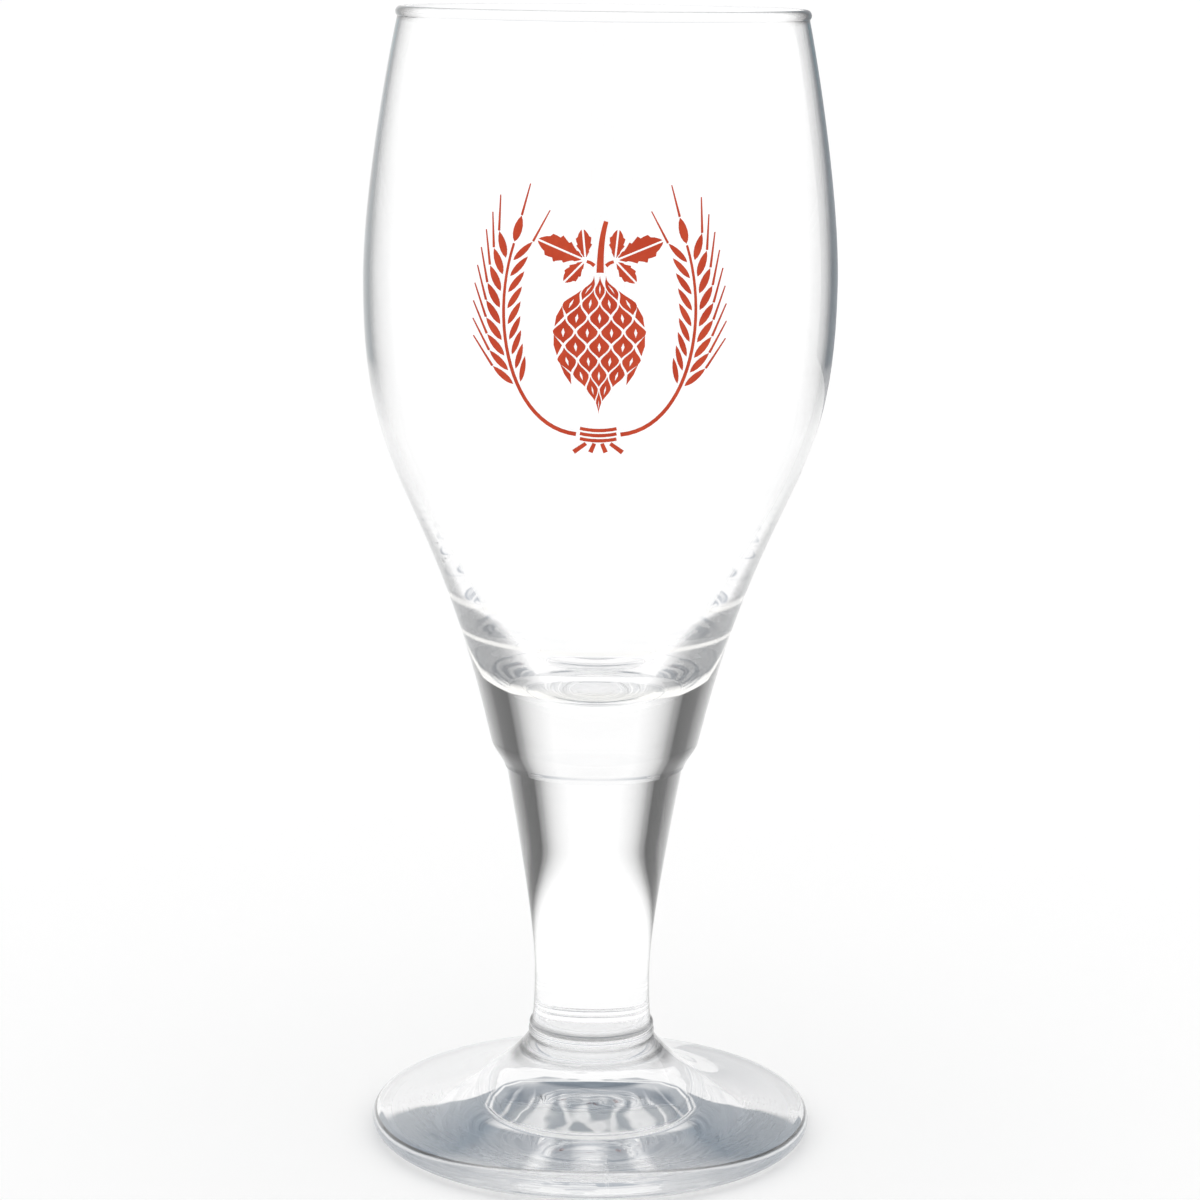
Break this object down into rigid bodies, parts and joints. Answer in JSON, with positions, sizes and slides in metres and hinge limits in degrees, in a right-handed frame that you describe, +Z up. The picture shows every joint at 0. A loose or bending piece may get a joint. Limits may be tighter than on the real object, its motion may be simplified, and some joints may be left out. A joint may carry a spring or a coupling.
{
  "type": "tasting glass",
  "caption": "Stemmed clear beer tasting glass: tulip bowl with a thick base and beaded rim, solid waisted stem, round foot with a punt, and a red enamel emblem of hop and barley.",
  "frame": {"origin": "centre of the foot, on the resting plane", "axes": "+Z up along the glass's axis, -Y out of the front that carries the print"},
  "size_m": [0.0662, 0.0663, 0.1618],
  "materials": {
    "clear_glass": "clear, fire polished",
    "red_enamel": "fired enamel, satin"
  },
  "bodies": {
    "root": {"foot": "clear_glass", "stem": "clear_glass", "bowl": "clear_glass", "print_hop_cone": "red_enamel", "print_hop_stalk": "red_enamel", "print_leaf_right": "red_enamel", "print_leaf_left": "red_enamel", "print_ear_right": "red_enamel", "print_ear_left": "red_enamel", "print_tie": "red_enamel"}
  },
  "joints": []
}
